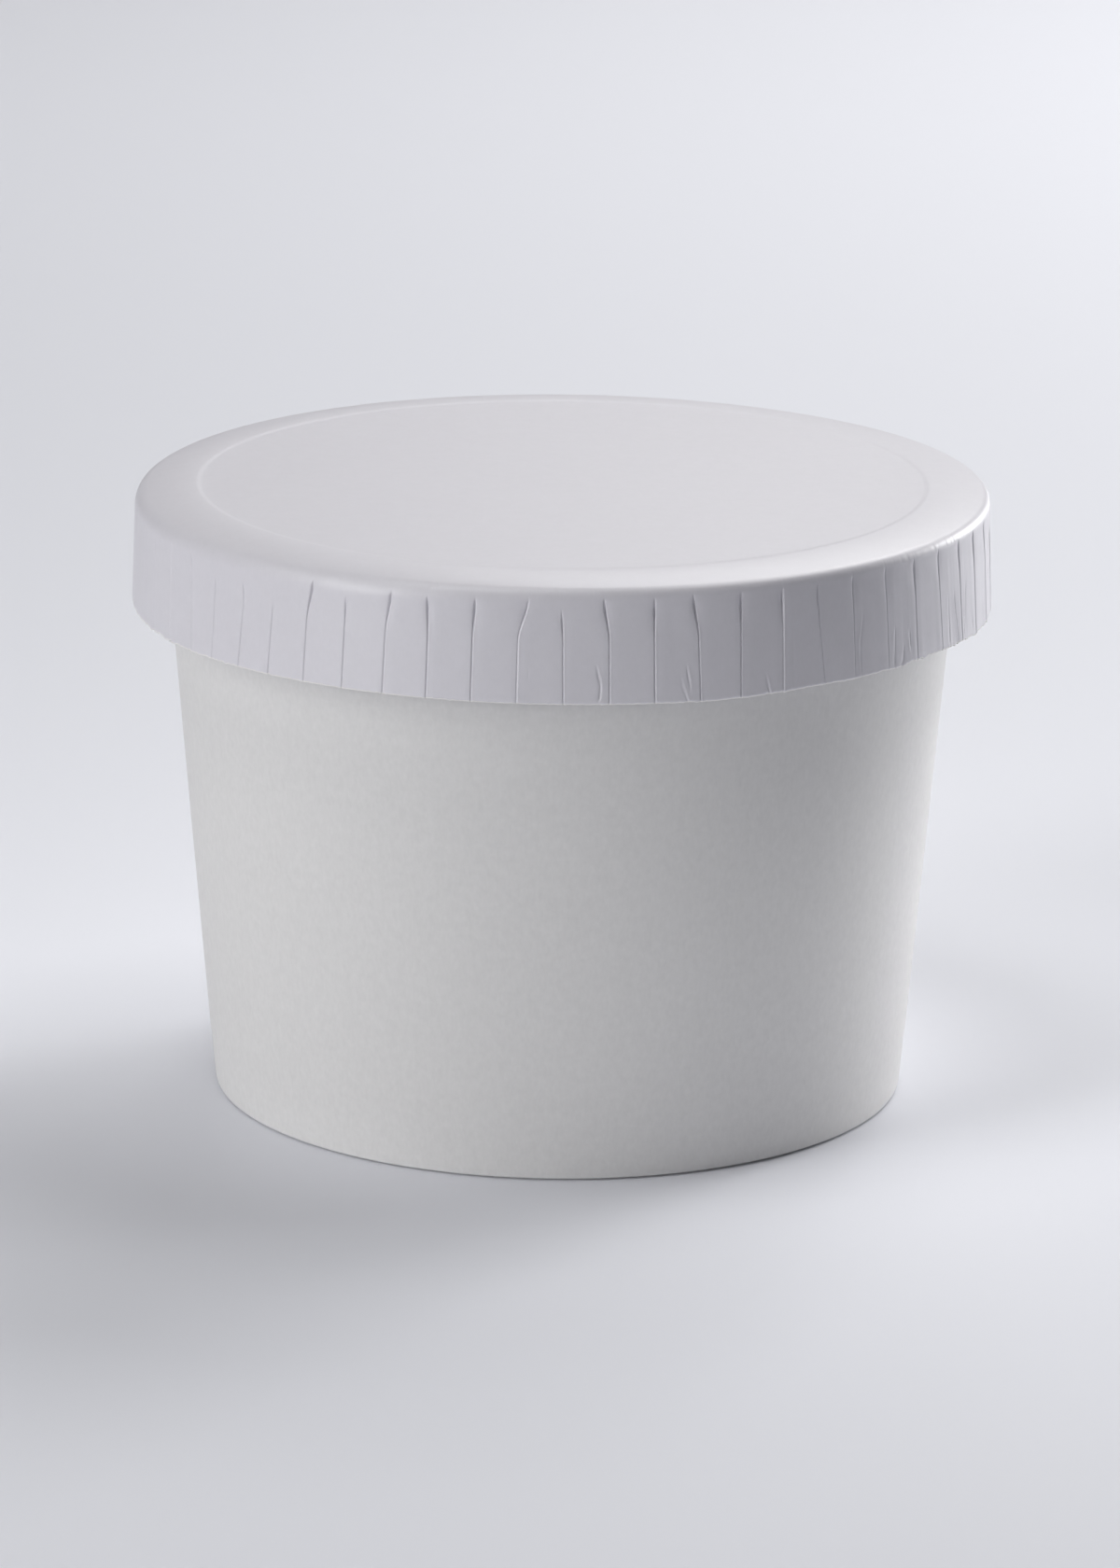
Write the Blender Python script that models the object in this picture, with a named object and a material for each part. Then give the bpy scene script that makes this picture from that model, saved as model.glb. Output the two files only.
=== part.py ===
"""Round paper food tub, shut with a pressed paper lid.

The tub is a conical board wall with a rolled rim and a foot ring round a recessed
base. The lid is one disc of thin board, drawn down over the rim into a skirt whose
spare board is gathered into pleats all round. Nothing can be seen inside the shut
tub, so its body is solid up to just below the lid.

Metres, +Z up. The origin is the middle of the foot, on the surface the tub stands on.
"""

import math

import bpy
import numpy as np

MM = 0.001

# ---- Tub: driving sizes ----
FOOT_RADIUS = 41.75 * MM        # outside of the wall where it stands
WALL_SLOPE = 0.0845             # how far the wall leans out for each unit of height
FOOT_WIDTH = 1.2 * MM           # wall, turned-in edge and base flange pressed together
FOOT_ROUND = 0.25 * MM          # rounding of the fold that the tub stands on
BASE_RECESS = 6.5 * MM          # how far the base sits above the table
BASE_FILLET = 0.6 * MM          # rounding where the base meets its flange
BEAD_RADIUS = 1.5 * MM          # section of the rolled rim
BEAD_CENTRE_Z = 71.5 * MM
BEAD_CENTRE_R = 48.75 * MM
FILL_Z = 72.7 * MM              # top of the solid body, inside the rim
TUB_COLUMNS = 84                # facets round the tub
BEAD_STEPS = 10                 # facets round the rolled rim's section

# ---- Lid: driving sizes ----
BOARD = 0.4 * MM                # thickness of the lid's board
LID_TOP_Z = 74.2 * MM
SKIRT_EDGE_Z = 60.2 * MM        # cut edge of the skirt
PANEL_RADIUS = 43.1 * MM        # flat middle, pressed down a little
PANEL_DROP = 0.12 * MM
CROWN_START = 43.9 * MM         # where the outer ring starts to fall away
CROWN_RADIUS = 26.9 * MM        # then three arcs in line with each other
CROWN_END = math.radians(12.25)
SHOULDER_RADIUS = 1.75 * MM
SHOULDER_END = math.radians(60.0)
TURN_RADIUS = 2.85 * MM
SKIRT_LEAN = math.radians(88.0)  # slope of the skirt, 90 degrees being upright
LID_STEPS = (2, 3, 2)            # facets in the crown, the shoulder and the turn

# ---- Lid: pleats ----
PLEAT_COUNT = 62
FIRST_PLEAT = math.radians(-89.8)
PLEAT_HALF_WIDTH = 0.35 * MM
PLEAT_DEPTH = 0.2 * MM


def arc_chain(start_r, start_z, radii, turns, steps):
    """Outline points and slopes of arcs that follow each other without a corner.

    An arc of radius R between slopes a and b moves out by R (sin b - sin a) and
    down by R (cos a - cos b). Slopes are measured down from level.
    """
    points = [(start_r, start_z, 0.0)]
    slope = 0.0
    for radius, turn, count in zip(radii, turns, steps):
        base_r, base_z, _ = points[-1]
        for angle in np.linspace(slope, turn, count + 1)[1:]:
            out = radius * (math.sin(angle) - math.sin(slope))
            down = radius * (math.cos(slope) - math.cos(angle))
            points.append((base_r + out, base_z - down, float(angle)))
        slope = turn
    return points


def turned_solid(name, outline, angles, inset=None):
    """A closed solid, turned round Z from an outline that starts and ends on the axis.

    The outline runs down its outer side. inset[row][column] moves a point towards
    the axis, which is how the pleats get into the skirt.
    """
    columns = len(angles)
    vertices = []
    rings = []
    for row, (r, z) in enumerate(outline):
        if r == 0.0:
            rings.append([len(vertices)] * columns)
            vertices.append((0.0, 0.0, z))
            continue
        radius = np.full(columns, r) if inset is None else r - inset[row]
        rings.append(list(range(len(vertices), len(vertices) + columns)))
        vertices.extend(zip(radius * np.cos(angles), radius * np.sin(angles), [z] * columns))
    faces = []
    for upper, lower in zip(rings[:-1], rings[1:]):
        for a in range(columns):
            b = (a + 1) % columns
            face = [upper[a], lower[a], lower[b], upper[b]]
            faces.append(tuple(dict.fromkeys(face)))
    mesh = bpy.data.meshes.new(name)
    mesh.from_pydata(vertices, [], faces)
    mesh.update()
    mesh.shade_smooth()
    mesh.set_sharp_from_angle(angle=math.radians(35.0))
    piece = bpy.data.objects.new(name, mesh)
    bpy.context.scene.collection.objects.link(piece)
    return piece


def paint(piece, colour, roughness):
    """Give a piece its own plain board material."""
    material = bpy.data.materials.new(piece.name + "_board")
    material.use_nodes = True
    shader = material.node_tree.nodes["Principled BSDF"]
    shader.inputs["Base Color"].default_value = (*colour, 1.0)
    shader.inputs["Roughness"].default_value = roughness
    shader.inputs["Metallic"].default_value = 0.0
    piece.data.materials.append(material)


def wall_radius(z):
    """Outside radius of the tub's wall at a height."""
    return FOOT_RADIUS + WALL_SLOPE * z


def bead_angle_on_wall():
    """Where, round the rim's section, the rolled rim comes back to the wall."""
    sweep = np.linspace(-0.5 * math.pi, -math.pi, 721)
    r = BEAD_CENTRE_R + BEAD_RADIUS * np.cos(sweep)
    z = BEAD_CENTRE_Z + BEAD_RADIUS * np.sin(sweep)
    return float(sweep[np.argmin(np.abs(r - wall_radius(z)))])


def tub_outline():
    """Section of the tub: fill, rolled rim, wall, foot ring and recessed base."""
    inner = math.pi - math.asin((FILL_Z - BEAD_CENTRE_Z) / BEAD_RADIUS)
    outline = [(0.0, FILL_Z)]
    for angle in np.linspace(inner, bead_angle_on_wall(), BEAD_STEPS + 1):
        r = BEAD_CENTRE_R + BEAD_RADIUS * math.cos(angle)
        outline.append((r, BEAD_CENTRE_Z + BEAD_RADIUS * math.sin(angle)))
    foot_inside = FOOT_RADIUS - FOOT_WIDTH
    flange_top = foot_inside + WALL_SLOPE * (BASE_RECESS - BASE_FILLET)
    outline += [
        (wall_radius(FOOT_ROUND), FOOT_ROUND),
        (FOOT_RADIUS - FOOT_ROUND, 0.0),
        (foot_inside + FOOT_ROUND, 0.0),
        (foot_inside, FOOT_ROUND),
        (flange_top, BASE_RECESS - BASE_FILLET),
        (flange_top - BASE_FILLET, BASE_RECESS),
        (0.0, BASE_RECESS),
    ]
    return outline


def lid_outline():
    """Section of the lid, its skirt's rows marked, as (r, z) and a list of flags.

    The outer side is the panel, its shallow step and three arcs down to the skirt.
    The inner side is the same line moved in by the board's thickness.
    """
    height = LID_TOP_Z - SKIRT_EDGE_Z
    radii = (CROWN_RADIUS, SHOULDER_RADIUS, TURN_RADIUS)
    turns = (CROWN_END, SHOULDER_END, SKIRT_LEAN)
    top = arc_chain(CROWN_START, height, radii, turns, LID_STEPS)
    skirt_r, skirt_z, _ = top[-1]
    edge_r = skirt_r + skirt_z / math.tan(SKIRT_LEAN)
    outer = [(0.0, height - PANEL_DROP), (PANEL_RADIUS, height - PANEL_DROP)]
    outer += [(r, z) for r, z, _ in top]
    outer.append((edge_r, 0.0))
    inner = [(edge_r - BOARD, 0.0)]
    inner += [(r - BOARD * math.sin(a), z - BOARD * math.cos(a)) for r, z, a in top[::-1]]
    inner.append((PANEL_RADIUS, height - PANEL_DROP - BOARD))
    inner.append((0.0, height - PANEL_DROP - BOARD))
    pleated = [False] * (len(outer) - 2) + [True, True] + [False] * len(inner)
    return outer + inner, pleated


def make_tub():
    """The tub's body, one solid."""
    angles = np.arange(TUB_COLUMNS) * (2.0 * math.pi / TUB_COLUMNS)
    tub = turned_solid("tub", tub_outline(), angles)
    paint(tub, (0.77, 0.78, 0.76), 0.75)
    return tub


def make_lid():
    """The lid, one sheet of board with its pleats pressed into the skirt.

    Each pleat is a narrow V: two lips on the round and a bottom moved inwards.
    """
    outline, pleated = lid_outline()
    pitch = 2.0 * math.pi / PLEAT_COUNT
    half = PLEAT_HALF_WIDTH / max(r for r, _ in outline)
    centres = FIRST_PLEAT + pitch * np.arange(PLEAT_COUNT)
    angles = (centres[:, None] + np.array([-half, 0.0, half])).ravel()
    depth = np.tile([0.0, PLEAT_DEPTH, 0.0], PLEAT_COUNT)
    inset = [depth if flag else np.zeros_like(depth) for flag in pleated]
    lid = turned_solid("lid", outline, angles, inset)
    lid.location.z = SKIRT_EDGE_Z
    paint(lid, (0.79, 0.78, 0.81), 0.5)
    return lid


def main():
    for old in list(bpy.data.objects):
        bpy.data.objects.remove(old)
    container = bpy.data.objects.new("container", None)
    bpy.context.scene.collection.objects.link(container)
    for piece in (make_tub(), make_lid()):
        piece.parent = container


main()
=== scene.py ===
"""Round paper food tub, shut with a pressed paper lid.

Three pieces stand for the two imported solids: the lid's sheet of board, with the pleats
of its skirt, the tub's wall with its rolled rim, side seam and folded foot, and the
base disc. Metres, +Z up, the origin in the middle of the foot.
"""

import math

import bpy
import numpy as np
from bpy.props import FloatProperty, FloatVectorProperty, PointerProperty
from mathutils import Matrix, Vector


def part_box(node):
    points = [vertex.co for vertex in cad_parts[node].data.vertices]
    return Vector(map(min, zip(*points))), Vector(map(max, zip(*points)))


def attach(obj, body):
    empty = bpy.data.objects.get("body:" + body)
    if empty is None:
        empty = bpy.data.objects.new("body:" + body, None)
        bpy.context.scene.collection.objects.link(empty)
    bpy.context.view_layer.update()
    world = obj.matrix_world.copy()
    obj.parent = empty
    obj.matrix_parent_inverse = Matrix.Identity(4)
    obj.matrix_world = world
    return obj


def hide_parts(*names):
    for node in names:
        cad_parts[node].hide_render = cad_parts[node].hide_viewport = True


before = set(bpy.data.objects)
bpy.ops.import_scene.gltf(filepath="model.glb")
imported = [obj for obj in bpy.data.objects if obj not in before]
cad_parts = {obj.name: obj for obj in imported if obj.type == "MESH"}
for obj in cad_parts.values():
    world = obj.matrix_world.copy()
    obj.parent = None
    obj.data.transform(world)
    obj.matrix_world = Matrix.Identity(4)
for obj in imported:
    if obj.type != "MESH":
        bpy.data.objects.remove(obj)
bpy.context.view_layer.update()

bl_info = {
    "name": "Paper food tub",
    "version": (1, 0, 0),
    "blender": (4, 5, 0),
    "location": "View3D > Sidebar > Paper tub",
    "description": "Builds a paper tub, its pleated lid and a small studio",
    "category": "Add Mesh",
}

MM = 0.001
WHOLE_TURN = 2.0 * math.pi
LID_LOW, LID_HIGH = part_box("lid")
LID_RADIUS = LID_HIGH.x
TUB_TOP_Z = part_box("tub")[1].z

# ---- Lid outline, from the middle outwards ----
LID_TOP_Z = LID_HIGH.z
SKIRT_EDGE_Z = LID_LOW.z
PANEL_RADIUS = 43.1 * MM         # flat middle, pressed down a little
PANEL_STEPS = np.array([0.0, 3.5, 8.0, 13.0, 19.0, 25.0, 31.0, 36.5, 40.5, 42.4]) * MM
CROWN_START = 43.9 * MM
TURN_RADIUS = 2.85 * MM
SKIRT_LEAN = math.radians(88.0)
SKIRT_PARTS_Z = (68.6 * MM, 61.0 * MM)  # the skirt's rows change their spacing here
# radius of the crown and the slope where it ends, then the same of the shoulder: the
# pressing bent the board crisply in front on the right and softly elsewhere
SOFT_BEND = (26.9 * MM, math.radians(12.25), 1.82 * MM, math.radians(66.0))
CRISP_BEND = (35.7 * MM, math.radians(10.0), 1.15 * MM, math.radians(78.0))
CRISP_MIDDLE = math.radians(65.0)
CRISP_SPREAD = (-0.1, 0.8)       # the cosine where it begins, and from there to its full

# ---- Rows of the lid's outline ----
STEP_ROWS = 8                    # in the step between the panel and the crown
CROWN_ROWS = 5
SHOULDER_ROWS = 8
TURN_ROWS = 5
SKIRT_ROWS = (9, 18)             # in its two parts, each with the row above it
EDGE_STEPS = np.array([0.60, 0.40, 0.28, 0.16, 0.03]) * MM  # rows above the cut edge
SHOULDER_ROW = len(PANEL_STEPS) + STEP_ROWS + CROWN_ROWS    # the first of the shoulder
TURN_ROW = SHOULDER_ROW + SHOULDER_ROWS + TURN_ROWS - 1     # the last of the turn
# the inside follows only these rows, from the cut edge back up to the middle
INNER_SKIRT_ROWS = (63, 61, 59, 56, 53, 50, 47, 44, 41, 38, 35, 33, 31, 29, 27, 25, 23)
INNER_CROWN_ROWS = (22, 19, 16, 9, 7)
INNER_PANEL_ROWS = (5, 2)

# ---- Columns round the lid ----
LID_COLUMNS = 1600
COARSE_STEP = 4                  # the top and the inside have one column in four
FEW_STEP = 5                     # near the middle only one in five of those is left
FEW_RADIUS = 14.0 * MM           # rings of the lid and the base thin out inside this
FINE_ANGLES = 72001              # angles at which the density of columns is worked out
PLEAT_CROWDS = ((7.0, 0.22 * MM), (2.0, 0.7 * MM))  # bells of density: height, half width
CREASE_CROWD = 5.0               # density over a crease, out to the margin beside it
CREASE_MARGIN = 0.25 * MM

# ---- Tub section ----
FOOT_RADIUS = 41.75 * MM
WALL_SLOPE = 0.0845              # how far the wall leans out for each unit of height
WALL_ROWS = ((70.2, 8.5, 24), (7.6, 5.6, 5), (4.4, 0.8, 5))  # from, to, number; heights in mm
PINCH_FADE = (7.4 * MM, 1.2 * MM)  # the foot is pressed in below this, over this span
FOOT_WIDTH = 1.2 * MM            # wall, base flange and turned-in edge pressed together
FOOT_ROUND = 0.20 * MM
FOLD_Z = 0.42 * MM               # the outer face ends here, a little above the table
FOLD_ROUND = 0.14 * MM
FOLD_END = 0.8 * math.pi / 2.0   # the fold's rounding ends at this slope
FOLD_TUCK = 0.55 * MM            # the fold leans back this far to where it stands
FOLD_CORNER = (0.1 * MM, 0.08 * MM)  # width and height of the last bevel, at the table
ARC_POINTS = 4
TURN_IN_Z = 5.4 * MM             # cut edge of the turned-in wall
TURN_IN_ROWS = (2.0 * MM, 4.0 * MM)
CUT_ROUND = 0.06 * MM            # rounding of the cut edge's corners
SLOT_Z = 4.6 * MM                # bottom of the slot that grips the base's flange
SLOT_TAPER = 0.02 * MM
INNER_WALL_ROWS = (8.0, 69.5, 7)
BEAD_RADIUS = 1.5 * MM
BEAD_CENTRE_R = 48.75 * MM
BEAD_CENTRE_Z = 71.5 * MM
BEAD_SWEEP = (math.radians(195.0), math.radians(-125.0), 25)  # from, to, number of rows
WALL_COLUMNS = 288
# extra columns, at these distances from the side seam's cut edge
SEAM_COLUMNS = np.array([-1.2, -0.5, -0.15, -0.02, 0.02, 0.15, 0.5, 1.1, 2.0]) * MM
FOLD_SHARE = 0.5                 # how much of the sway and the seam's rise the fold takes
RIM_SHARE = 0.3                  # and the rim

# ---- Base disc ----
BASE_Z = 6.5 * MM                # underside of the disc
BASE_BEND = 0.6 * MM             # rounding where the disc turns down into its flange
OUTER_BEND_ROWS = (0.2, 1.0, 4)  # shares of a quarter turn: from, to, number
INNER_BEND_ROWS = (0.8, 0.0, 5)
FLANGE_Z = 4.75 * MM             # cut edge of the flange
FLANGE_GAP = 0.05 * MM           # between the flange and the wall
FLANGE_SQUEEZE = 0.10 * MM       # the foot's pressing made the flange thinner by this
FLANGE_LEAN = 0.12 * MM          # the flange leans in with the wall: at its cut edge
FLANGE_LEAN_TOP = 0.04 * MM      # and at the top of its inner face
# radius and height above the underside, in mm: a shallow ring is pressed up into it
UNDERSIDE = (
    (36.4, 0.0), (36.0, 0.12), (35.2, 0.12), (34.8, 0.0),
    (26.0, 0.0), (14.0, 0.0), (6.0, 0.0), (0.0, 0.0),
)
BASE_COLUMNS = 192
BASE_FEW_STEP = 6

# ---- Pleats that the pressing gathered, one row each ----
# angle from the front in degrees, height where it starts, how far its head and its
# foot lie to the side in degrees, depth, and how proud its right-hand lip is
PLEATS = (
    (-74.7, 72.2, 0.0, 0.0, 0.10, 0.05),
    (-69.0, 71.6, -0.1, 0.2, 0.18, 0.04),
    (-63.0, 71.9, -0.3, 0.5, 0.25, 0.03),
    (-57.15, 72.0, -0.45, 0.4, 0.27, 0.03),
    (-51.5, 70.2, -0.1, -0.3, 0.29, 0.00),
    (-45.6, 70.4, -0.4, -0.8, 0.28, 0.00),
    (-40.3, 69.0, 0.1, -0.65, 0.28, -0.02),
    (-34.6, 72.6, 0.8, -0.45, 0.27, -0.04),
    (-28.8, 71.0, 0.1, -0.35, 0.25, -0.02),
    (-22.95, 72.6, 0.7, -0.4, 0.20, -0.03),
    (-17.2, 72.4, -0.15, -0.2, 0.23, -0.05),
    (-11.35, 72.6, 0.3, -0.15, 0.23, -0.05),
    (-5.5, 72.7, 1.3, -0.15, 0.22, 0.08),
    (0.2, 71.2, -0.25, 0.1, 0.23, -0.02),
    (6.1, 72.8, -0.7, 0.05, 0.26, -0.05),
    (11.9, 72.7, 0.0, 0.1, 0.25, -0.03),
    (17.7, 72.9, -0.7, 0.3, 0.28, -0.06),
    (23.5, 72.8, 0.0, 0.0, 0.26, -0.05),
    (29.6, 72.7, -0.1, 0.0, 0.22, 0.10),
    (35.15, 72.8, -0.35, 0.85, 0.20, -0.03),
    (40.85, 72.9, -0.15, 0.25, 0.16, -0.07),
    (47.0, 72.9, -0.25, 0.35, 0.16, -0.06),
    (53.1, 72.9, -0.3, 0.4, 0.15, 0.03),
    (59.1, 73.0, -0.3, 0.7, 0.15, -0.02),
    (65.4, 73.0, -0.4, 0.6, 0.15, 0.03),
    (71.25, 73.0, -0.45, 0.6, 0.15, 0.03),
    (77.7, 72.9, -0.8, 0.5, 0.13, 0.02),
)
PLEAT_COUNT = 62
# the pleats at the back are drawn at random: these starts by these odds, these heads, and
# the rest within these ranges, in the units of the list
PLEAT_SEED = 62
BACK_PUSH = 0.25                 # degrees to either side of an even spacing
BACK_STARTS = (72.6, 72.4, 72.1, 70.8, 69.4)
BACK_START_ODDS = (0.4, 0.25, 0.15, 0.12, 0.08)
BACK_HEADS = (0.8, 0.3, 0.0, -0.3, -0.8)
BACK_HEAD_SHARES = (0.5, 1.3)
BACK_LEAN = 0.35                 # standard deviation
BACK_DEPTHS = (0.2, 0.3)
BACK_LIPS = (-0.06, 0.06)

# ---- Section of a pleat ----
# a pair for the head is the height where it begins and the span to its full
HEAD_SWING = (67.5 * MM, 5.0 * MM)
HEAD_GROWTH = (67.5 * MM, 3.5 * MM)
FOOT_LEAN = (68.0 * MM, 8.0 * MM)  # the foot leans below this, fully over this span
FOOT_LEAN_MOST = 1.2
PLEAT_FADE = 1.6 * MM            # from its start down to its full depth
# each pair is a share at the foot, and what is added to it at the head
SLIT_WIDTHS = (0.85, 0.65)
SLIT_DEPTHS = (0.48, 0.47)
TROUGH_DEPTHS = (0.08, 0.32)
LIP_HEIGHTS = (0.35, 0.65)
TROUGH_WIDTH = 0.6 * MM
LIP_WIDTH = 0.06 * MM            # width of the lip's step, and how far it dies away
LIP_REACH = 1.1 * MM
BEAD_SHARE = 0.08                # height of the bead at the foot, as a share of the depth
BEAD_ASIDE = 0.17 * MM
BEAD_WIDTH = 0.09 * MM
FLAT_FADE = (72.0 * MM, 3.0 * MM)  # the flats between pleats begin below this
RIDGE_SHARE = 1.3                # the ridge inside a pleat against the pleat's depth
RIDGE_FADE = (71.0 * MM, 2.0 * MM)

# ---- Short creases between the pleats, near the cut edge ----
# upper end and lower end as angle and height, depth, and how proud the right side is as
# a share of it, the left side being as proud where it is negative
CREASES = (
    (-17.5, 73.10, -16.4, 73.42, 0.10, 0.5),
    (-4.1, 64.2, -4.1, 63.6, 0.07, 0.5),
    (4.4, 64.7, 5.1, 62.5, 0.16, 0.5),
    (5.1, 62.5, 4.9, 61.0, 0.14, 0.5),
    (16.1, 64.3, 16.6, 62.0, 0.13, 0.5),
    (15.2, 63.2, 16.3, 60.3, 0.08, 0.5),
    (27.0, 62.3, 27.7, 60.2, 0.16, 0.5),
    (31.1, 67.0, 31.2, 60.3, 0.03, 0.5),
    (42.6, 68.0, 41.9, 63.9, 0.09, -1.0),
    (41.9, 63.9, 42.2, 60.3, 0.10, -1.0),
    (48.6, 65.5, 48.5, 60.5, 0.09, -0.9),
    (50.5, 62.8, 50.1, 60.3, 0.13, -0.8),
    (51.6, 64.3, 51.8, 62.5, 0.08, -0.9),
    (61.4, 67.5, 61.8, 61.0, 0.05, -0.9),
    (63.0, 67.5, 64.6, 60.5, 0.11, -0.7),
    (67.6, 68.5, 66.6, 60.8, 0.11, -0.7),
    (70.2, 62.5, 70.1, 60.6, 0.09, -0.7),
    (76.2, 64.5, 76.8, 60.5, 0.09, -0.7),
)
CREASE_WIDTH = 0.08 * MM
CREASE_STEP = 0.05 * MM          # width of the step up to the proud side
CREASE_REACH = 0.25 * MM         # how far the proud side dies away
CREASE_GROWTH = 0.4              # share of its length over which it deepens
# the creases at the back are drawn at random within these ranges
CREASE_SEED = 19
BACK_CREASES = 16
BACK_ANGLES = (85.0, 275.0)
BACK_CREASE_TOPS = (62.0, 66.0)
BACK_CREASE_LEAN = 0.5           # standard deviation
BACK_CREASE_END = 60.3
BACK_CREASE_DEPTHS = (0.04, 0.15)
BACK_CREASE_SIDES = (-0.8, 0.5)

# ---- Cut edge of the skirt: angle from the front and height above its mean ----
EDGE_WAVE = (
    (-120, 0.05), (-76, -0.10), (-60, -0.15), (-35, 0.0), (0, 0.05), (10, 0.0),
    (20, -0.15), (30, 0.0), (34, 0.15), (40, 0.05), (46, 0.15), (48.5, 0.0),
    (50, 0.2), (58, 0.3), (61.5, 0.1), (64, 0.15), (70, -0.2), (76, -0.3), (100, 0.05),
)
TORN_SIDES = (35.0, 20.0)        # raggedness grows from this far aside, over this span
TORN_MORE = 2.0
CUT_SLANT = 0.34 * MM            # from this far above the cut its corner is bevelled
CUT_BEVEL = 0.07 * MM            # the corner's last step, at the cut itself
INNER_CUT_BEVEL = 0.05 * MM
# the lip turned out just above the cut: least share and more, from and over which
# angles it grows, and over which it lessens again and by how much
EDGE_LIP_SHARES = (0.05, 0.95)
EDGE_LIP_GROWS = (-22.0, 20.0)
EDGE_LIP_LESSENS = (50.0, 15.0)
EDGE_LIP_LOSS = 0.7
EDGE_LIP_REACH = 0.25 * MM
EDGE_LIP_TOP_Z = 63.0 * MM

# ---- Random unevenness round the axis: seed, fewest and most waves, largest swing ----
LID_WARP = (8, 1, 5, 0.03 * MM)
SKIRT_SWAY = (9, 1, 7, 0.12 * MM)
WALL_SWAY = (11, 1, 6, 0.06 * MM)
SKIRT_STREAKS = (12, 80, 400, 0.03 * MM)
BEND_PUCKERS = (13, 150, 700, 0.035 * MM)
CUT_WAVES = (5, 40, 250, 0.06 * MM)
CUT_FIBRES = (6, 250, 800, 0.05 * MM)
# where the streaks grow, in degrees aside and in height, and where they fade out
STREAK_SIDES = (30.0, 25.0)
STREAK_LOW = (66.0 * MM, 5.0 * MM)
STREAK_FADE = (72.5 * MM, 2.0 * MM)
PUCKER_Z = 73.0 * MM
PUCKER_WIDTH = 0.35 * MM

# ---- Soft boxes and a strip light: azimuth from the front in degrees, distance from the
# axis, height and the height it aims at in metres, width and height of the panel in
# metres, power in watts, and the angle in degrees that its grid lets out ----
SOFT_BOXES = (
    ("key_low", 133.0, 1.30, 0.27, 0.13, 0.45, 0.50, 10.6, 180.0),
    ("key_high", 147.0, 0.91, 0.92, 0.00, 0.60, 0.45, 4.1, 180.0),
    ("key_top", 115.0, 0.55, 1.18, 0.00, 0.50, 0.50, 3.9, 180.0),
    ("rear_high", 169.0, 1.06, 0.75, 0.00, 0.50, 0.50, 2.5, 180.0),
    ("fill_low", -52.0, 1.25, 0.26, 0.13, 0.40, 0.50, 4.9, 180.0),
    ("fill_side", -61.0, 1.08, 0.72, 0.00, 0.50, 0.50, 3.0, 180.0),
    ("fill_top", -60.0, 0.28, 0.86, 0.00, 0.35, 0.35, 0.11, 36.0),
    ("strip_low", 80.0, 0.50, 0.026, 0.026, 0.30, 0.03, 0.005, 10.0),
)
AIR_COLOUR = "E8ECF4"
AIR_STRENGTH = 0.004

# ---- Floor and camera, in metres ----
FLOOR_FLAT = 1.9                 # flat out to here
FLOOR_CURL = 1.3                 # radius of the quarter circle that follows
FLOOR_RINGS = (0.1, 0.3, 0.8, 1.3, FLOOR_FLAT)
FLOOR_CURL_ROWS = 17
FLOOR_COLUMNS = 96
SENSOR_WIDTH = 36.0              # in millimetres, as the lens is
CLIP_NEAR = 0.05
CLIP_FAR = 20.0


# ---------------------------------------------------------------- small helpers


def linear_rgb(code):
    """Linear colour of a six-digit sRGB hex code.

    A channel up to 0.04045 is divided by 12.92. Any other has 0.055 added, is divided
    by 1.055 and raised to the power 2.4.
    """
    channels = np.array([int(code[i : i + 2], 16) for i in (0, 2, 4)]) / 255.0
    curved = ((channels + 0.055) / 1.055) ** 2.4
    return tuple(float(c) for c in np.where(channels <= 0.04045, channels / 12.92, curved))


def smooth_step(t):
    """0 below 0, 1 above 1, and three t squared less two t cubed between them."""
    t = np.clip(t, 0.0, 1.0)
    return t * t * (3.0 - 2.0 * t)


def above(values, start, span):
    """A smooth step from 0 at the start up to 1 a span above it."""
    return smooth_step((values - start) / span)


def below(values, start, span):
    """A smooth step from 0 at the start up to 1 a span below it."""
    return smooth_step((start - values) / span)


def bell(distance, width):
    """1 at no distance, falling as e to the minus square of the distance over the width."""
    return np.exp(-((distance / width) ** 2))


def ripple(angles, seed, fewest, most, size):
    """A smooth closed line of random waves round the axis, size being its largest swing.

    It sums one cosine for each whole number of waves from the fewest to the most, each
    with a random phase and a random share that falls with the root of its number.
    """
    random = np.random.default_rng(seed)
    numbers = np.arange(fewest, most + 1)
    phases = random.uniform(0.0, WHOLE_TURN, len(numbers))
    shares = random.uniform(0.4, 1.0, len(numbers)) / np.sqrt(numbers)
    total = (shares * np.cos(np.multiply.outer(angles, numbers) + phases)).sum(-1)
    return size * total / np.abs(total).max()


def wrapped(angles, turn):
    """Angles brought within half a turn of 0, turn being the size of a whole one."""
    return (angles + 0.5 * turn) % turn - 0.5 * turn


def place(radius, angles, height):
    """Points at a radius and height, at angles counted from the front towards +X."""
    radius, angles, height = np.broadcast_arrays(radius, angles, height)
    return np.stack([radius * np.sin(angles), -radius * np.cos(angles), height], -1)


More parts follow.
